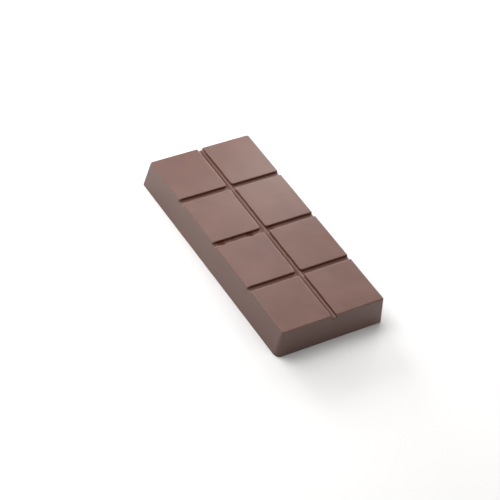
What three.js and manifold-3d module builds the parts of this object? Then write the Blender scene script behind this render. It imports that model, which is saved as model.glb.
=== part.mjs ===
// A bar of moulded milk chocolate, scored into two columns of four tablets.
// Millimetres, +Z up. X runs across the bar and Y along it, and the origin is the centre of its underside.
import * as THREE from "three";
import { mergeVertices } from "three/addons/utils/BufferGeometryUtils.js";
import Module from "manifold-3d";

// Driving dimensions of the bar's outline
const BASE_LENGTH = 100;
const BASE_WIDTH = 47.2;
const HEIGHT = 12.1;
const WALL_DRAFT = THREE.MathUtils.degToRad(5); // the side walls lean in by this much
const PLAN_CORNER_RADIUS = 0.9;
const WORN_CORNER_RADIUS = 2.4; // the south-west corner at the base, where it is rubbed round
const TOP_EDGE_RADIUS = 0.45;

// Driving dimensions of the tablets
const COLUMNS = 2;
const ROWS = 4;
const ROW_PITCH = 25.1;
const TABLET_CORNER_RADIUS = 1;
const LIP_RADIUS = 0.25;

// The grooves between them, each width taken between the sharp lips, before they are rounded
const LONG_GROOVE = { width: 2.4, depth: 1.4 };
const CROSS_GROOVE = { width: 2.2, depth: 1 };
const GROOVE_DRAFT = THREE.MathUtils.degToRad(7);

// Small bites out of the near wall of the middle cross groove
const CHIPS = [
  { x: -19.1, width: 3.4, bite: 0.45 },
  { x: -13.6, width: 1.8, bite: 0.25 },
  { x: -6.4, width: 3.2, bite: 0.5 },
  { x: 2.8, width: 3.4, bite: 0.35 },
];
const CHIP_HALF_HEIGHT = 0.9;

// Fineness of the round stretches
const PLAN_CORNER_STEPS = 6;
const TABLET_CORNER_STEPS = 3;
const EDGE_STEPS = 5;
const LIP_STEPS = 4;
const CHIP_STEPS = 8;

// A tablet's block stands a little outside the walls that trim it, and reaches down into the slab
const BLOCK_PROUD = 0.05;
const BLOCK_SINK = 1;

// Sizes that follow from the dimensions above
const LEAN = HEIGHT * Math.tan(WALL_DRAFT);
const TOP_LENGTH = BASE_LENGTH - 2 * LEAN;
const TOP_WIDTH = BASE_WIDTH - 2 * LEAN;
const COLUMN_PITCH = (TOP_WIDTH + LONG_GROOVE.width) / COLUMNS;
const CROSS_FLOOR = HEIGHT - CROSS_GROOVE.depth;
const GROOVE_TAPER = Math.tan(GROOVE_DRAFT);

const wasm = await Module();
wasm.setup();

// Points round a rectangle with rounded corners, counter-clockwise. The south-west corner has a
// radius of its own.
function roundedRectangle({ west, east, south, north }, radius, southWest, steps) {
  const quarter = Math.PI / 2;
  const corners = [
    [east - radius, south + radius, radius, -quarter],
    [east - radius, north - radius, radius, 0],
    [west + radius, north - radius, radius, quarter],
    [west + southWest, south + southWest, southWest, 2 * quarter],
  ];
  return corners.flatMap(([x, y, r, start]) =>
    new THREE.EllipseCurve(x, y, r, r, start, start + quarter).getPoints(steps),
  );
}

// A closed geometry through a stack of outlines with equal numbers of points, lowest first
function loft(sections) {
  const count = sections[0].points.length;
  const positions = sections.flatMap(({ z, points }) => points.flatMap(({ x, y }) => [x, y, z]));
  const index = [];
  for (let level = 0; level < sections.length - 1; level++) {
    for (let i = 0; i < count; i++) {
      const a = level * count + i;
      const b = level * count + ((i + 1) % count);
      index.push(a, b, b + count, a, b + count, a + count);
    }
  }
  const top = (sections.length - 1) * count;
  for (const [a, b, c] of THREE.ShapeUtils.triangulateShape(sections[0].points, [])) {
    index.push(c, b, a);
    index.push(top + a, top + b, top + c);
  }
  const geometry = new THREE.BufferGeometry();
  geometry.setAttribute("position", new THREE.Float32BufferAttribute(positions, 3));
  return geometry.setIndex(index);
}

// A block with leaning walls and a rounded top edge. The rectangle is its top outline before the
// edge is rounded, and every section below it grows outwards from there. The corners keep their
// radius down the walls, apart from the south-west one, which widens to wornRadius at the bottom.
function leaningBlock(options) {
  const { rectangle, bottom, draft, edgeRadius, edgeSteps, cornerRadius, cornerSteps } = options;
  const { wornRadius = cornerRadius } = options;
  const section = (z, growth) => {
    const radius = cornerRadius + Math.min(growth, 0);
    const wear = ((wornRadius - cornerRadius) * (HEIGHT - z)) / (HEIGHT - bottom);
    const outline = {
      west: rectangle.west - growth,
      east: rectangle.east + growth,
      south: rectangle.south - growth,
      north: rectangle.north + growth,
    };
    return { z, points: roundedRectangle(outline, radius, radius + wear, cornerSteps) };
  };
  const sections = [section(bottom, (HEIGHT - bottom) * Math.tan(draft))];
  for (let i = 0; i <= edgeSteps; i++) {
    const tilt = THREE.MathUtils.lerp(draft, Math.PI / 2, i / edgeSteps);
    const growth = edgeRadius * (Math.tan(draft) - 1 / Math.cos(draft) + Math.cos(tilt));
    sections.push(section(HEIGHT - edgeRadius * (1 - Math.sin(tilt)), growth));
  }
  return loft(sections);
}

// The whole bar before it is scored
function barOutline() {
  return leaningBlock({
    rectangle: {
      west: -TOP_WIDTH / 2,
      east: TOP_WIDTH / 2,
      south: -TOP_LENGTH / 2,
      north: TOP_LENGTH / 2,
    },
    bottom: 0,
    draft: WALL_DRAFT,
    edgeRadius: TOP_EDGE_RADIUS,
    edgeSteps: EDGE_STEPS,
    cornerRadius: PLAN_CORNER_RADIUS,
    wornRadius: WORN_CORNER_RADIUS,
    cornerSteps: PLAN_CORNER_STEPS,
  });
}

// Where each tablet starts and ends along one axis
function stretches(count, pitch, topSize, grooveWidth) {
  const outside = topSize / 2 + BLOCK_PROUD;
  const grooveBefore = (i) => (i - count / 2) * pitch;
  return Array.from({ length: count }, (_, i) => ({
    start: i === 0 ? -outside : grooveBefore(i) + grooveWidth / 2,
    end: i === count - 1 ? outside : grooveBefore(i + 1) - grooveWidth / 2,
  }));
}

// One tablet's block, which the bar's outline trims on its outer sides
function tabletBlock(across, along) {
  return leaningBlock({
    rectangle: { west: across.start, east: across.end, south: along.start, north: along.end },
    bottom: CROSS_FLOOR - BLOCK_SINK,
    draft: GROOVE_DRAFT,
    edgeRadius: LIP_RADIUS,
    edgeSteps: LIP_STEPS,
    cornerRadius: TABLET_CORNER_RADIUS,
    cornerSteps: TABLET_CORNER_STEPS,
  });
}

// The thickness under the cross grooves, wider than the bar so that only its top face is used
function slab() {
  const geometry = new THREE.BoxGeometry(BASE_WIDTH + 2, BASE_LENGTH + 2, CROSS_FLOOR + 1);
  return geometry.translate(0, 0, (CROSS_FLOOR - 1) / 2);
}

// The channel that takes the long groove below the floors of the cross grooves
function channel() {
  const { width, depth } = LONG_GROOVE;
  const geometry = new THREE.BoxGeometry(width - 2 * depth * GROOVE_TAPER, BASE_LENGTH + 2, depth);
  return geometry.translate(0, 0, HEIGHT - depth / 2);
}

// The bite that one chip takes out of a wall, centred half way down it
function chip({ x, width, bite }) {
  const { width: grooveWidth, depth } = CROSS_GROOVE;
  const geometry = new THREE.SphereGeometry(1, CHIP_STEPS, CHIP_STEPS);
  geometry.scale(width / 2, bite, CHIP_HALF_HEIGHT);
  return geometry.translate(x, -(grooveWidth - depth * GROOVE_TAPER) / 2, HEIGHT - depth / 2);
}

function toSolid(geometry) {
  geometry.deleteAttribute("normal");
  geometry.deleteAttribute("uv");
  const merged = mergeVertices(geometry);
  return new wasm.Manifold(
    new wasm.Mesh({
      numProp: 3,
      vertProperties: merged.attributes.position.array,
      triVerts: new Uint32Array(merged.index.array),
    }),
  );
}

function toGeometry(solid) {
  const { vertProperties, triVerts } = solid.getMesh();
  const geometry = new THREE.BufferGeometry();
  geometry.setAttribute("position", new THREE.BufferAttribute(vertProperties, 3));
  geometry.setIndex(new THREE.BufferAttribute(triVerts, 1));
  geometry.computeVertexNormals();
  return geometry;
}

function chocolateBar() {
  let relief = toSolid(slab());
  for (const across of stretches(COLUMNS, COLUMN_PITCH, TOP_WIDTH, LONG_GROOVE.width)) {
    for (const along of stretches(ROWS, ROW_PITCH, TOP_LENGTH, CROSS_GROOVE.width)) {
      relief = relief.add(toSolid(tabletBlock(across, along)));
    }
  }
  let bar = toSolid(barOutline()).intersect(relief).subtract(toSolid(channel()));
  for (const one of CHIPS) bar = bar.subtract(toSolid(chip(one)));
  return toGeometry(bar);
}

const chocolate = new THREE.MeshStandardMaterial({
  color: 0x68463b,
  roughness: 0.35,
  metalness: 0,
});

const bar = new THREE.Mesh(chocolateBar(), chocolate);
bar.name = "chocolate_bar";

const group = new THREE.Group();
group.add(bar);

export default group;
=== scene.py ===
"""A moulded milk chocolate bar on a pale studio floor."""
import math

import bpy
import numpy as np
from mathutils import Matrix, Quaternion, Vector


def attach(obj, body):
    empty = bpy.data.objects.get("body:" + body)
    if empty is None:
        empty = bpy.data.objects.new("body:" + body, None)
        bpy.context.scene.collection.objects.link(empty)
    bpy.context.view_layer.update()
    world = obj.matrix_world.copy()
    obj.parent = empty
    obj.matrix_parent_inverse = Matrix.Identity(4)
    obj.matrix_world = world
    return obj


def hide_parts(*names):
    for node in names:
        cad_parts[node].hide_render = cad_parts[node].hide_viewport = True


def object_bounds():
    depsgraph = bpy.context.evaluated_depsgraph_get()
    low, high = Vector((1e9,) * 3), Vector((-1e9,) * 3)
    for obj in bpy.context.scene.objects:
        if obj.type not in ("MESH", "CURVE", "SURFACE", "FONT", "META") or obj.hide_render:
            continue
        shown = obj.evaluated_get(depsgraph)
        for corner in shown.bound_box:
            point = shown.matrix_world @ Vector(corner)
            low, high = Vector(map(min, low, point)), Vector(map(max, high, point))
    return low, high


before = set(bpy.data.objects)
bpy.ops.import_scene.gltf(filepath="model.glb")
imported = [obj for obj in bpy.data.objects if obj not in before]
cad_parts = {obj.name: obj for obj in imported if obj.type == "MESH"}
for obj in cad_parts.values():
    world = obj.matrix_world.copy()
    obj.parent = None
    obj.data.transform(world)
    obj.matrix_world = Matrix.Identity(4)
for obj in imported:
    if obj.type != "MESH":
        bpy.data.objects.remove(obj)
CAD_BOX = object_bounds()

bl_info = {
    "name": "Chocolate Bar",
    "version": (1, 0, 0),
    "blender": (4, 5, 0),
    "location": "3D View > Sidebar > Chocolate",
    "description": "Makes a scored milk chocolate bar and the soft light that it is seen in",
    "category": "Add Mesh",
}

MM = 0.001
CAD_NODE = "chocolate_bar"
BAR_WIDTH, BAR_LENGTH, BAR_HEIGHT = (CAD_BOX[1] - CAD_BOX[0]) / MM

# Where a colour Mix node has its two colours and its result
MIX_A, MIX_B, MIXED = 6, 7, 2


def linear(hex_colour):
    """Turn an sRGB hex colour into the linear values that Blender works in."""
    channels = [int(hex_colour[i:i + 2], 16) / 255 for i in (1, 3, 5)]
    return [c / 12.92 if c <= 0.04045 else ((c + 0.055) / 1.055) ** 2.4 for c in channels]


# What a user would change

def length(name, description, millimetres):
    return bpy.props.FloatProperty(
        name=name, description=description, default=millimetres * MM, unit="LENGTH", precision=5)


def angle(name, description, degrees):
    return bpy.props.FloatProperty(
        name=name, description=description, default=math.radians(degrees), subtype="ANGLE")


def colour(name, description, hex_colour):
    return bpy.props.FloatVectorProperty(
        name=name, description=description, default=linear(hex_colour), subtype="COLOR",
        min=0, max=1)


def number(name, description, value, **kind):
    return bpy.props.FloatProperty(name=name, description=description, default=value, **kind)


class BarShape(bpy.types.PropertyGroup):
    """Sizes of the moulded bar"""
    width: length("Width", "Across the base", BAR_WIDTH)
    length: length("Length", "Along the base", BAR_LENGTH)
    height: length("Height", "From the back to the tops of the tablets", BAR_HEIGHT)
    wall_draft: angle("Wall draft", "How far the outer walls lean in", 5)
    plan_corner: length("Plan corner", "Radius of the upright corners", 0.9)
    worn_corner: length("Worn corner", "Radius at the base of the rubbed corner", 2.4)
    top_edge: length("Top edge", "Radius of the outer top edges", 0.45)
    base_edge: length("Base edge", "Radius where the walls meet the back", 0.2)
    row_pitch: length("Row pitch", "From one cross groove to the next", 25.1)
    long_groove_width: length("Long groove width", "Between the sharp lips", 2.4)
    long_groove_depth: length("Long groove depth", "From the top to its floor", 1.4)
    cross_groove_width: length("Cross groove width", "Between the sharp lips", 2.2)
    cross_groove_depth: length("Cross groove depth", "From the top to their floors", 1.0)
    groove_draft: angle("Groove draft", "How far the walls of a groove lean", 7)
    lip: length("Lip", "Radius of a tablet's edges along a groove", 0.25)
    long_foot: length("Long foot", "Radius between the long groove's wall and floor", 0.75)
    cross_foot: length("Cross foot", "Radius between a cross groove's wall and floor", 0.15)
    step: length("Step", "Radius of the edge between two grooves' floors", 0.1)
    tablet_corner: length("Tablet corner", "Radius of a tablet's inner corners", 1.0)
    groove_end: length("Groove end", "Over which a groove turns matt from the side inwards", 1.6)
    wander: length("Wander", "How far the grooves' walls stray from straight", 0.08)
    wave: length("Wave", "How far the moulded faces stray from flat", 0.03)
    back_wave: length("Back wave", "How far the poured back strays from flat", 0.12)


class ChocolateFinish(bpy.types.PropertyGroup):
    """Colours of the chocolate"""
    brown: colour("Brown", "Milk chocolate fresh from the mould", "#60392d")
    dark_brown: colour("Dark brown", "Where it set a little darker", "#583328")
    # Painted reflection: the walls' greyer colour stands in for the pale floor reflected in them
    wall: colour("Wall", "Outer walls, a little greyer than the top", "#5a3e37")
    # Lighter edges: partly rubbed wear, partly a painted highlight along the rounded edges
    rubbed: colour("Rubbed", "Along rubbed edges", "#75564a")
    # The bloom's veil is partly painted sheen, thicker in wide drifts where the reflection was
    # brighter
    bloom: colour("Bloom", "Thin veil of cocoa butter", "#836b61")
    # Painted shade: the grooves' darker colour stands in for the shade in them, besides their matt
    # finish
    groove: colour("Groove", "Matt chocolate in the grooves", "#5f3e31")
    # A darker, matt colour over the middle cross groove beside the chips
    chip_dark: colour("Broken", "Fresh chocolate where a chip broke off", "#522c1c")
    roughness: number("Roughness", "Of the moulded faces", 0.35, subtype="FACTOR", min=0, max=1)


class StudioSetup(bpy.types.PropertyGroup):
    """Camera, floor and lights"""
    azimuth: angle("Azimuth", "Camera's direction round the bar, 0 looks along +Y", -40.55)
    elevation: angle("Elevation", "Camera's height above the horizon", 43.33)
    roll: angle("Roll", "Camera's turn about the way it looks", 12.95)
    distance: length("Distance", "From the camera to its target", 747)
    focal_length: number("Focal length", "On a 36 mm sensor", 142.2, unit="CAMERA")
    target_x: length("Target X", "The point in the middle of the picture", -7.18)
    target_y: length("Target Y", "The point in the middle of the picture", -2.81)
    target_z: length("Target Z", "The point in the middle of the picture", 6.05)
    floor: colour("Floor", "Pale floor", "#f0efee")
    room: number("Room", "Strength of the light from all round", 0.2)


# The bar's form, as signed distances in millimetres

NEARLY_ZERO = 1e-9  # stands in for a vanishing divisor


def round_intersection(a, b, radius):
    """Where both shapes are, with the edge that they share rounded."""
    beyond = np.hypot(np.maximum(a + radius, 0), np.maximum(b + radius, 0))
    return np.minimum(-radius, np.maximum(a, b)) + beyond


def round_union(a, b, radius):
    """Where either shape is, with a fillet between the two."""
    short = np.hypot(np.maximum(radius - a, 0), np.maximum(radius - b, 0))
    return np.maximum(radius, np.minimum(a, b)) - short


def round_rectangle(past_x, past_y, radius):
    """A rectangle with rounded corners, from how far a point is past its sides."""
    x, y = past_x + radius, past_y + radius
    outside = np.hypot(np.maximum(x, 0), np.maximum(y, 0))
    return outside + np.minimum(np.maximum(x, y), 0) - radius


def smooth_step(value):
    """0 below 0, 1 above 1, and a smooth rise between."""
    t = np.clip(value, 0, 1)
    return t * t * (3 - 2 * t)


def drift(points, wavelength, seed, share=1, waves=28, spread=(0.7, 1.6)):
    """A smooth random value, mostly between minus and plus its share.

    It sums waves in random directions, whose lengths are spread about the wavelength.
    """
    random = np.random.default_rng(seed)
    direction = random.normal(size=(waves, 3))
    direction /= np.linalg.norm(direction, axis=1, keepdims=True)
    pace = 2 * np.pi / (wavelength * random.uniform(*spread, waves))
    start = random.uniform(0, 2 * np.pi, waves)
    total = sum(np.sin(points @ d * p + s) for d, p, s in zip(direction, pace, start))
    return total / math.sqrt(2 * waves) * share


COLUMN_GROOVES = (0,)  # in row pitches from the middle, across the bar
ROW_GROOVES = (-1, 0, 1)  # and along it

# Bites out of the near wall of the middle cross groove: place across the bar, width and bite
CHIPS = ((-19.1, 3.4, 0.45), (-13.6, 1.8, 0.25), (-6.4, 3.2, 0.5), (2.8, 3.4, 0.35))
DEEPEST_BITE = max(bite for _, _, bite in CHIPS)
CHIP_HALF_HEIGHT = 0.9
CHIP_EDGE = 0.12  # radius of its rim

# How matt the grooves are, and how far their colour is painted darker for their shade: 0 is like
# the tops, and 1 is wholly matt
LONG_GROOVE_MATT = 0.8
CROSS_FLOOR_MATT = 0.45
CROSS_WALL_MATT = 1.0
FILLET_SHARPNESS = 6  # how soon a leaning face counts as a fillet


class BarForm:
    """The bar's solid form, worked out from its sizes in millimetres."""

    def __init__(self, shape):
        for name in BarShape.__annotations__:
            value = getattr(shape, name)
            setattr(self, name, value if name.endswith("draft") else value / MM)
        self.long_floor = self.height - self.long_groove_depth
        self.cross_floor = self.height - self.cross_groove_depth
        self.column_grooves = np.array(COLUMN_GROOVES) * self.row_pitch
        self.row_grooves = np.array(ROW_GROOVES) * self.row_pitch

    def past_groove_wall(self, place, z, grooves, width):
        """How far into the nearest groove a point is, past the groove's leaning wall."""
        away = np.abs(place[:, None] - grooves).min(axis=1)
        half = width / 2 - (self.height - z) * math.tan(self.groove_draft)
        return (half - away) * math.cos(self.groove_draft)

    def into_grooves(self, point):
        """How far into the long groove and into the nearest cross groove a point is."""
        x, y, z = point.T
        return (
            self.past_groove_wall(x, z, self.column_grooves, self.long_groove_width),
            self.past_groove_wall(y, z, self.row_grooves, self.cross_groove_width),
        )

    def chips(self, point):
        """Distance to the nearest chip's hollow, centred half way down the wall."""
        nearest = np.full(len(point), np.inf)
        depth = self.cross_groove_depth
        wall = self.cross_groove_width / 2 - depth / 2 * math.tan(self.groove_draft)
        for x, width, bite in CHIPS:
            centre = [x, -wall, self.height - depth / 2]
            size = np.array([width / 2, bite, CHIP_HALF_HEIGHT])
            scaled = (point - centre) / size
            reach = np.linalg.norm(scaled, axis=1)
            steepness = np.maximum(np.linalg.norm(scaled / size, axis=1), NEARLY_ZERO)
            nearest = np.minimum(nearest, reach * (reach - 1) / steepness)
        return nearest

    def past_walls(self, point):
        """How far a point is past the outer walls. The corner at -X and -Y is worn at the base."""
        x, y, z = point.T
        lean = z * math.tan(self.wall_draft)
        wear = (x < 0) * (y < 0) * (1 - z / self.height)
        return math.cos(self.wall_draft) * round_rectangle(
            np.abs(x) - self.width / 2 + lean,
            np.abs(y) - self.length / 2 + lean,
            self.plan_corner + (self.worn_corner - self.plan_corner) * wear,
        )

    def distance(self, point):
        """Distance to the bar's surface, below 0 inside."""
        z = point[:, 2]
        into_column, into_row = self.into_grooves(point)
        tablets = round_rectangle(into_column, into_row, self.tablet_corner)
        tablets = round_intersection(tablets, z - self.height, self.lip)
        relief = round_union(tablets, z - self.cross_floor, self.cross_foot)
        beside_channel = round_union(into_column, z - self.long_floor, self.long_foot)
        relief = round_intersection(relief, beside_channel, self.step)
        body = round_intersection(self.past_walls(point), relief, self.top_edge)
        body = round_intersection(body, -self.chips(point), CHIP_EDGE)
        return round_intersection(body, -z, self.base_edge)

    def outward(self, point, step=1e-3):
        """The direction in which the distance grows."""
        shifts = np.eye(3) * step
        rise = [self.distance(point + s) - self.distance(point - s) for s in shifts]
        slope = np.stack(rise, axis=1)
        return slope / np.maximum(np.linalg.norm(slope, axis=1, keepdims=True), NEARLY_ZERO)

    def settle(self, point, rounds=10):
        """Move points onto the surface."""
        for _ in range(rounds):
            point = point - self.distance(point)[:, None] * self.outward(point)
        return point

    def from_walls(self, point, lag=0.2):
        """0 up to a little inside the outer walls, then growing to 1 inwards."""
        return smooth_step(-self.past_walls(point) / self.groove_end - lag)

    def in_grooves(self, point, lip_depth=0.3, wall_depth=0.15):
        """Two values up to 1: in the long groove, and in a cross groove.

        Both are 0 on the lips, where the grooves cross and where they end.
        """
        below_lip = smooth_step((self.height - point[:, 2]) / lip_depth)
        in_long, in_cross = [
            smooth_step(1 + into / wall_depth) for into in self.into_grooves(point)]
        inside = below_lip * self.from_walls(point)
        return in_long * (1 - in_cross) * inside, in_cross * (1 - in_long) * inside

    def grooving(self, point, outward):
        """How matt the grooves are, and how far they are painted darker for their shade: all over,
        apart from the fillets of the long one.
        """
        in_long, in_cross = self.in_grooves(point)
        steep = 1 - outward[:, 2] ** 2
        fillet = np.minimum(1, FILLET_SHARPNESS * steep * (1 - steep))
        cross_matt = CROSS_FLOOR_MATT + (CROSS_WALL_MATT - CROSS_FLOOR_MATT) * steep
        return in_long * LONG_GROOVE_MATT * (1 - fillet) + in_cross * cross_matt

    def breaking(self, point, inner=0.35, outer=0.6):
        """Up to 1 in the middle cross groove beside the chips.

        It is full up to the inner share of a chip's width from its middle, and 0 past the outer.
        """
        beside = [
            smooth_step((outer - np.abs(point[:, 0] - x) / width) / (outer - inner)) * bite
            for x, width, bite in CHIPS
        ]
        in_middle = np.abs(point[:, 1]) < self.cross_groove_width
        return self.in_grooves(point)[1] * in_middle * np.max(beside, axis=0) / DEEPEST_BITE

    def walling(self, point, outward, reach=0.3):
        """1 on the outer walls, fading to 0 round their edges: where a greyer colour paints the
        pale floor's reflection.
        """
        return smooth_step(1 + self.past_walls(point) / reach) * (1 - outward[:, 2] ** 2)

    def rubbing(self, point, reach=0.9):
        """1 on the upper edges, fading to 0 a little way in on the flats and down the walls. It
        marks rubbed edges, which are partly a painted edge highlight.
        """
        below = self.distance(point - [0, 0, reach])
        near_top = smooth_step(1 - (self.height - point[:, 2]) / reach)
        return smooth_step(1 + below / reach) * near_top


# The skin is the outside of a stack of cells, small near the edges, that settles on the form.
# These are the cells' sizes there and elsewhere, and how far in they grow, in millimetres.

FINE_STEP = 0.1
COARSE_STEP = 0.75
GRADING_REACH = 4.0


def graded_stations(edges, samples=400):
    """Positions along one axis that meet every edge and lie close together near the edges."""
    stations = [edges[0]]
    for low, high in zip(edges, edges[1:]):
        place = np.linspace(low, high, samples)
        away = np.clip(np.minimum(place - low, high - place) / GRADING_REACH, 0, 1)
        density = 1 / (FINE_STEP + (COARSE_STEP - FINE_STEP) * away)
        steps = (density[1:] + density[:-1]) / 2 * np.diff(place)
        travelled = np.concatenate([[0], np.cumsum(steps)])
        stops = np.linspace(0, travelled[-1], round(travelled[-1]) + 2)[1:]
        stations.extend(np.interp(stops, travelled, place))
    return np.array(stations)


def skin_of_cells(solid):
    """Grid points and outward quads of the skin round the solid cells."""
    shape = tuple(n + 1 for n in solid.shape)
    quads = []
    for axis in range(3):
        margin = [(1, 1) if a == axis else (0, 0) for a in range(3)]
        change = np.diff(np.pad(solid, margin).astype(int), axis=axis)
        along_u, along_v = np.eye(3, dtype=int)[[(axis + 1) % 3, (axis + 2) % 3]]
        for facing in (-1, 1):
            at = np.argwhere(change == facing)
            ring = [at, at + along_u, at + along_u + along_v, at + along_v][::-facing]
            quads.append(np.stack([np.ravel_multi_index(p.T, shape) for p in ring], axis=1))
    used, quads = np.unique(np.concatenate(quads), return_inverse=True)
    return np.stack(np.unravel_index(used, shape), axis=1), quads.reshape(-1, 4)


def bar_skin(form):
    """Points in millimetres and quads of the smooth bar."""

    def edges(size, grooves, width):
        lips = [line + side for line in grooves for side in (-width / 2, width / 2)]
        return [-size / 2, *lips, size / 2]

    def in_groove(places, grooves, width):
        return np.abs(places[:, None] - grooves).min(axis=1) < width / 2

    columns = (form.column_grooves, form.long_groove_width)
    rows = (form.row_grooves, form.cross_groove_width)
    stations = [
        graded_stations(edges(form.width, *columns)),
        graded_stations(edges(form.length, *rows)),
        graded_stations([0, form.long_floor, form.cross_floor, form.height]),
    ]
    x, y, z = [(s[1:] + s[:-1]) / 2 for s in stations]
    beside_long = ~in_groove(x, *columns)[:, None, None]
    beside_cross = ~in_groove(y, *rows)[:, None]
    solid = (z < form.long_floor) | beside_long & ((z < form.cross_floor) | beside_cross)
    index, quads = skin_of_cells(solid)
    points = np.stack([s[i] for s, i in zip(stations, index.T)], axis=1)
    # The outermost stations lean in with the walls, so that they settle evenly
    for axis, size in enumerate((form.width, form.length)):
        place = points[:, axis]
        share = np.clip(1 - (size / 2 - np.abs(place)) / GRADING_REACH, 0, 1)
        place -= np.sign(place) * share * points[:, 2] * math.tan(form.wall_draft)
    return form.settle(points), quads


# Drifts over the surface: wavelength in millimetres, seed and share
FACE_SWELL = (16, 3, 0.7)
FACE_RIPPLE = (5, 4, 0.3)
WALL_WANDER = (5, 7)
BACK_SWELL = (20, 5, 0.35)
BACK_STREAKS = (4, 6, 0.15)
# The bloom's wide drift is placed as a painted sheen: thicker where the reflection was brighter
BLOOM_AND_SHEEN_DRIFT = (60, 2720, 0.5)

STREAK_PULL = (1, 0.45, 1)  # draws the streaks out along the bar
BACK_HOLLOW = 0.5  # mean share of the back's wave
BACK_REACH = 0.5  # millimetres up from the base, over which the back's finish fades out
BACK_MARGIN = 3  # millimetres in from its edges, over which the back's wave fades in


def weather(form, points, outward):
    """Give the moulded faces a slight wave, and the poured back a stronger one.

    Returns the moved points, and the share of each one that belongs to the back.
    """
    back = smooth_step(-outward[:, 2]) * smooth_step(1 - points[:, 2] / BACK_REACH)
    wave = drift(points, *FACE_SWELL) + drift(points, *FACE_RIPPLE)
    moved = points + outward * (wave * form.wave * (1 - back))[:, None]
    # The grooves' walls wander a little, apart from their ends
    nearest = np.maximum(*form.into_grooves(points))
    on_wall = smooth_step(1 + nearest) * (1 - np.abs(outward[:, 2])) * form.from_walls(points)
    moved += outward * (drift(points, *WALL_WANDER) * form.wander * on_wall)[:, None]
    # The back is hollowed in swells and streaks, apart from its edges
    streaks = drift(points * STREAK_PULL, *BACK_STREAKS)
    hollow = np.clip(BACK_HOLLOW - drift(points, *BACK_SWELL) - streaks, 0, 1)
    half_size = (form.width / 2, form.length / 2)
    margin = smooth_step((half_size - np.abs(points[:, :2])) / BACK_MARGIN).prod(axis=1)
    moved[:, 2] += back * margin * form.back_wave * hollow
    moved[:, 2] = np.maximum(moved[:, 2], 0)
    return moved, back


def new_mesh(name, points, faces):
    """A smooth-shaded object, from points in metres."""
    mesh = bpy.data.meshes.new(name)
    mesh.from_pydata(points, [], faces)
    mesh.shade_smooth()
    made = bpy.data.objects.new(name, mesh)
    bpy.context.scene.collection.objects.link(made)
    return made


def paint(piece, name, values):
    """Keep one value for each vertex, for the material to read."""
    layer = piece.data.attributes.new(name, "FLOAT", "POINT")
    layer.data.foreach_set("value", np.asarray(values, dtype=np.float32))


# Materials

def add_node(tree, kind, inputs=None, **settings):
    """Add one node. An input is given a value, or the output that it is linked to."""
    node = tree.nodes.new(kind)
    for name, value in settings.items():
        setattr(node, name, value)
    for socket, value in (inputs or {}).items():
        if isinstance(value, bpy.types.NodeSocket):
            tree.links.new(value, node.inputs[socket])
        else:
            node.inputs[socket].default_value = value
    return node


def new_material(name):
    material = bpy.data.materials.new(name)
    material.use_nodes = True
    material.node_tree.nodes.clear()
    return material, material.node_tree


def every(millimetres):
    """A texture scale whose pattern repeats about once in that length."""
    return 1 / (millimetres * MM)


# Sizes of the chocolate's patterns, in millimetres
MOTTLING = 11
VEIL = 10
SCUFFS = 2.5
GRAIN, GRAIN_DEPTH = 0.9, 0.006
BUBBLES, PINHOLE_DEPTH = 7, 0.05
SCRAPES, SCRAPE_DEPTH = 0.8, 0.05

# How much of what is under them the bloom and the scuffs hide, least and most
THIN_VEIL, THICK_VEIL = 0.34, 0.46
LIGHT_SCUFF, STRONG_SCUFF = 0.15, 0.6

SCRAPE_PULL = (1.0, 0.04, 1.0)  # draws the scraper's lines out along the bar
NO_PINHOLE = 0.55  # the shade up to which a cell of the bubbles' pattern holds none
LARGEST_PINHOLE = 0.05  # its radius, as a share of the pattern's size
GLOSS_SPREAD = 0.03  # how far the roughness varies each way
BACK_ROUGHER = 0.16  # than the moulded faces
COCOA_BUTTER_IOR = 1.46
SATIN_SPECULAR, MATT_SPECULAR = 0.5, 0.1

# Nearly all of a noise's values lie in this range
NOISE_RANGE = {"From Min": 0.3, "From Max": 0.7}


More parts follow.
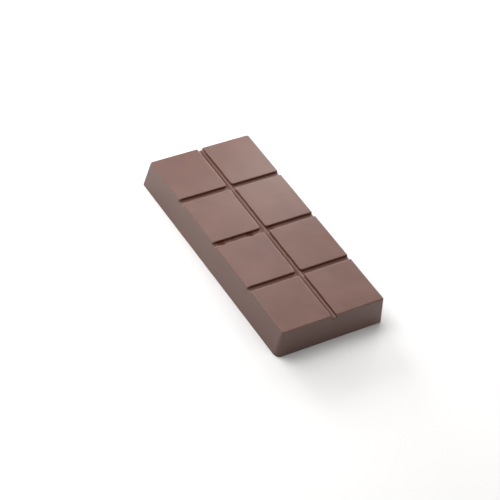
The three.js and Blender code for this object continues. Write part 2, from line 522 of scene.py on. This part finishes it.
def milk_chocolate(finish):
    """Tempered milk chocolate, set against a smooth mould.

    The mould leaves a satin skin, whose broad pale reflection veils the brown. Cocoa butter
    mottles the brown a little, and its bloom is painted thicker in wide drifts where the
    reflection was brighter. The walls are painted greyer for the pale floor's reflection, rubbed
    edges are lighter and carry a painted edge highlight, the grooves are duller and painted darker
    for their shade, and the poured back is duller.
    """
    material, tree = new_material("moulded_milk_chocolate")
    place = add_node(tree, "ShaderNodeTexCoord").outputs["Object"]
    walling, blooming, rubbing, grooving, breaking, back = [
        add_node(tree, "ShaderNodeAttribute", attribute_name=name).outputs["Fac"]
        for name in ("walling", "blooming", "rubbing", "grooving", "breaking", "back")]

    # Mottling, about a centimetre across, darker and lighter in turn
    cloud = add_node(tree, "ShaderNodeTexNoise", {
        "Vector": place, "Scale": every(MOTTLING), "Detail": 3.0, "Roughness": 0.55,
    }).outputs["Fac"]
    shade = add_node(tree, "ShaderNodeMapRange", {
        "Value": cloud, "From Min": 0.35, "From Max": 0.65}).outputs["Result"]
    brown = add_node(tree, "ShaderNodeMix", {
        0: shade, MIX_A: (*finish.dark_brown, 1), MIX_B: (*finish.brown, 1),
    }, data_type="RGBA").outputs[MIXED]
    # The walls are painted greyer, a painted reflection of the pale floor
    brown = add_node(tree, "ShaderNodeMix", {
        0: walling, MIX_A: brown, MIX_B: (*finish.wall, 1)}, data_type="RGBA").outputs[MIXED]

    # A thin veil of bloom, uneven every centimetre, in wide drifts placed to paint a lighter sheen
    # where the reflection was brighter
    veil = add_node(tree, "ShaderNodeTexNoise", {
        "Vector": place, "Scale": every(VEIL), "Detail": 6.0, "Roughness": 0.6}).outputs["Fac"]
    veil = add_node(tree, "ShaderNodeMapRange", {
        "Value": veil, **NOISE_RANGE, "To Min": THIN_VEIL, "To Max": THICK_VEIL,
    }).outputs["Result"]
    veil = add_node(tree, "ShaderNodeMath", {
        0: veil, 1: blooming}, operation="MULTIPLY").outputs[0]
    bloomed = add_node(tree, "ShaderNodeMix", {
        0: veil, MIX_A: brown, MIX_B: (*finish.bloom, 1)}, data_type="RGBA").outputs[MIXED]

    # Rubbed edges, partly a painted highlight along the edges, uneven every few millimetres
    scuff = add_node(tree, "ShaderNodeTexNoise", {
        "Vector": place, "Scale": every(SCUFFS), "Detail": 3.0}).outputs["Fac"]
    scuff = add_node(tree, "ShaderNodeMapRange", {
        "Value": scuff, **NOISE_RANGE, "To Min": LIGHT_SCUFF, "To Max": STRONG_SCUFF,
    }).outputs["Result"]
    wear = add_node(tree, "ShaderNodeMath", {
        0: scuff, 1: rubbing}, operation="MULTIPLY").outputs[0]
    skin = add_node(tree, "ShaderNodeMix", {
        0: wear, MIX_A: bloomed, MIX_B: (*finish.rubbed, 1)}, data_type="RGBA").outputs[MIXED]

    # The grooves have less bloom and a darker colour painted for their shade, and beside the chips
    # the middle cross groove is darker still
    skin = add_node(tree, "ShaderNodeMix", {
        0: grooving, MIX_A: skin, MIX_B: (*finish.groove, 1)}, data_type="RGBA").outputs[MIXED]
    skin = add_node(tree, "ShaderNodeMix", {
        0: breaking, MIX_A: skin, MIX_B: (*finish.chip_dark, 1)}, data_type="RGBA").outputs[MIXED]

    # The skin's gloss varies softly. The back is duller, and the grooves and chips are matt.
    gloss = add_node(tree, "ShaderNodeMapRange", {
        "Value": cloud, **NOISE_RANGE, "To Min": finish.roughness - GLOSS_SPREAD,
        "To Max": finish.roughness + GLOSS_SPREAD}).outputs["Result"]
    dullness = add_node(tree, "ShaderNodeMath", {
        0: back, 1: BACK_ROUGHER, 2: gloss}, operation="MULTIPLY_ADD").outputs[0]
    matt = add_node(tree, "ShaderNodeMath", {
        0: grooving, 1: breaking}, operation="MAXIMUM").outputs[0]
    shine = add_node(tree, "ShaderNodeMapRange", {
        "Value": matt, "To Min": SATIN_SPECULAR, "To Max": MATT_SPECULAR}).outputs["Result"]

    # Bump: a fine grain, then rare pinholes left by air bubbles, then the back's scraper lines
    grain = add_node(tree, "ShaderNodeTexNoise", {
        "Vector": place, "Scale": every(GRAIN), "Detail": 2.0}).outputs["Fac"]
    bump = add_node(tree, "ShaderNodeBump", {
        "Height": grain, "Strength": 1.0, "Distance": GRAIN_DEPTH * MM}).outputs["Normal"]
    bubble = add_node(tree, "ShaderNodeTexVoronoi", {"Vector": place, "Scale": every(BUBBLES)})
    # Many cells of the pattern hold no pinhole, and the others one of their own size
    chosen = add_node(tree, "ShaderNodeMapRange", {
        "Value": bubble.outputs["Color"], "From Min": NO_PINHOLE, "From Max": 1.0,
        "To Max": LARGEST_PINHOLE}).outputs["Result"]
    pinhole = add_node(tree, "ShaderNodeMath", {
        0: bubble.outputs["Distance"], 1: chosen}, operation="LESS_THAN").outputs[0]
    bump = add_node(tree, "ShaderNodeBump", {
        "Height": pinhole, "Normal": bump, "Strength": 1.0, "Distance": PINHOLE_DEPTH * MM,
    }, invert=True).outputs["Normal"]
    stretch = add_node(tree, "ShaderNodeVectorMath", {
        0: place, 1: SCRAPE_PULL}, operation="MULTIPLY").outputs[0]
    scrape = add_node(tree, "ShaderNodeTexNoise", {
        "Vector": stretch, "Scale": every(SCRAPES), "Detail": 3.0}).outputs["Fac"]
    scrape = add_node(tree, "ShaderNodeMath", {
        0: scrape, 1: back}, operation="MULTIPLY").outputs[0]
    bump = add_node(tree, "ShaderNodeBump", {
        "Height": scrape, "Normal": bump, "Strength": 1.0, "Distance": SCRAPE_DEPTH * MM,
    }).outputs["Normal"]

    surface = add_node(tree, "ShaderNodeBsdfPrincipled", {
        "Base Color": skin, "Roughness": dullness, "Normal": bump, "IOR": COCOA_BUTTER_IOR,
        "Specular IOR Level": shine})
    add_node(tree, "ShaderNodeOutputMaterial", {"Surface": surface.outputs["BSDF"]})
    return material


def painted_floor(hue):
    """Studio board with matt white paint: an even, soft white with no gloss."""
    material, tree = new_material("matt_painted_board")
    surface = add_node(tree, "ShaderNodeBsdfPrincipled", {
        "Base Color": (*hue, 1), "Roughness": 0.9, "Specular IOR Level": 0.2})
    add_node(tree, "ShaderNodeOutputMaterial", {"Surface": surface.outputs["BSDF"]})
    return material


# What the operators make

def make_bar(shape, finish):
    form = BarForm(shape)
    points, quads = bar_skin(form)
    outward = form.outward(points)
    looks = {
        "blooming": np.clip(0.5 + drift(points, *BLOOM_AND_SHEEN_DRIFT), 0, 1),
        "walling": form.walling(points, outward),
        "rubbing": form.rubbing(points),
        "grooving": form.grooving(points, outward),
        "breaking": form.breaking(points),
    }
    points, looks["back"] = weather(form, points, outward)
    bar = new_mesh("chocolate_bar_skin", points * MM, quads)
    for name, values in looks.items():
        paint(bar, name, values)
    bar.data.materials.append(milk_chocolate(finish))
    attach(bar, "root")
    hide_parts(CAD_NODE)


def direction(azimuth, elevation):
    """From the bar towards something at that azimuth, 0 in front, and elevation."""
    return Vector((
        math.sin(azimuth) * math.cos(elevation),
        -math.cos(azimuth) * math.cos(elevation),
        math.sin(elevation),
    ))


def make_camera(studio):
    target = Vector((studio.target_x, studio.target_y, studio.target_z))
    back = direction(studio.azimuth, studio.elevation)
    data = bpy.data.cameras.new("camera")
    data.lens = studio.focal_length
    data.clip_start = 0.01
    camera = bpy.data.objects.new("camera", data)
    camera.location = target + back * studio.distance
    camera.rotation_mode = "QUATERNION"
    level = (-back).to_track_quat("-Z", "Y")
    camera.rotation_quaternion = level @ Quaternion((0, 0, 1), studio.roll)
    bpy.context.scene.collection.objects.link(camera)
    bpy.context.scene.camera = camera


# Softboxes: azimuth and elevation in degrees, side in metres and strength in watts
SOFTBOXES = {
    "softbox_behind": (180, 14, 0.28, 3.26),
    "softbox_behind_left": (210, 14, 0.28, 1.1),
    "softbox_high_left": (225, 58, 0.28, 1.38),
    "softbox_above": (180, 80, 0.28, 0.51),
    "softbox_right": (120, 14, 0.28, 1.0),
    "softbox_front_right": (30, 36, 0.28, 0.36),
    "small_box_low": (139, 22, 0.18, 0.57),
    "small_box_high": (139, 42, 0.14, 0.16),
}
SOFTBOX_DISTANCE = 0.5  # metres from the origin
FLOOR_REACH = 3.0  # metres from the origin to each edge of the floor


def make_softbox(name, azimuth, elevation, side, strength):
    data = bpy.data.lights.new(name, "AREA")
    data.size = side
    data.energy = strength
    light = bpy.data.objects.new(name, data)
    towards = direction(math.radians(azimuth), math.radians(elevation))
    light.location = towards * SOFTBOX_DISTANCE
    light.rotation_mode = "QUATERNION"
    light.rotation_quaternion = (-towards).to_track_quat("-Z", "Y")
    light.visible_camera = False
    bpy.context.scene.collection.objects.link(light)


def make_room(strength):
    world = bpy.data.worlds.new("room")
    world.use_nodes = True
    world.node_tree.nodes.clear()
    light = add_node(world.node_tree, "ShaderNodeBackground", {
        "Color": (1, 1, 1, 1), "Strength": strength})
    add_node(world.node_tree, "ShaderNodeOutputWorld", {"Surface": light.outputs["Background"]})
    bpy.context.scene.world = world


def make_floor(hue):
    turns = ((-1, -1), (1, -1), (1, 1), (-1, 1))
    corners = [(x * FLOOR_REACH, y * FLOOR_REACH, 0) for x, y in turns]
    floor = new_mesh("floor", corners, [(0, 1, 2, 3)])
    floor.data.materials.append(painted_floor(hue))


# The add-on

class CHOCOLATE_OT_bar(bpy.types.Operator):
    """Make the chocolate bar in place of its plain solid"""
    bl_idname = "chocolate.bar"
    bl_label = "Make Chocolate Bar"

    def execute(self, context):
        make_bar(context.scene.bar_shape, context.scene.chocolate_finish)
        return {"FINISHED"}


class CHOCOLATE_OT_stage(bpy.types.Operator):
    """Make the floor, the lights and the camera"""
    bl_idname = "chocolate.stage"
    bl_label = "Make Stage"

    def execute(self, context):
        studio = context.scene.studio_setup
        make_floor(studio.floor)
        make_room(studio.room)
        for name, box in SOFTBOXES.items():
            make_softbox(name, *box)
        make_camera(studio)
        context.scene.view_settings.view_transform = "Standard"
        return {"FINISHED"}


class CHOCOLATE_PT_panel(bpy.types.Panel):
    """Lists the bar, its finish and the stage"""
    bl_idname = "CHOCOLATE_PT_panel"
    bl_label = "Chocolate Bar"
    bl_space_type = "VIEW_3D"
    bl_region_type = "UI"
    bl_category = "Chocolate"

    def draw(self, context):
        for group in GROUPS:
            settings = getattr(context.scene, GROUPS[group])
            box = self.layout.box()
            for name in group.__annotations__:
                box.prop(settings, name)
        for operator in OPERATORS:
            self.layout.operator(operator.bl_idname)


GROUPS = {BarShape: "bar_shape", ChocolateFinish: "chocolate_finish", StudioSetup: "studio_setup"}
OPERATORS = (CHOCOLATE_OT_bar, CHOCOLATE_OT_stage)
CLASSES = (*GROUPS, *OPERATORS, CHOCOLATE_PT_panel)


def register():
    for cls in CLASSES:
        bpy.utils.register_class(cls)
    for group, name in GROUPS.items():
        setattr(bpy.types.Scene, name, bpy.props.PointerProperty(type=group))


def unregister():
    for name in GROUPS.values():
        delattr(bpy.types.Scene, name)
    for cls in reversed(CLASSES):
        bpy.utils.unregister_class(cls)


def main():
    register()
    bpy.ops.chocolate.bar()
    bpy.ops.chocolate.stage()


if __name__ == "__main__":
    main()
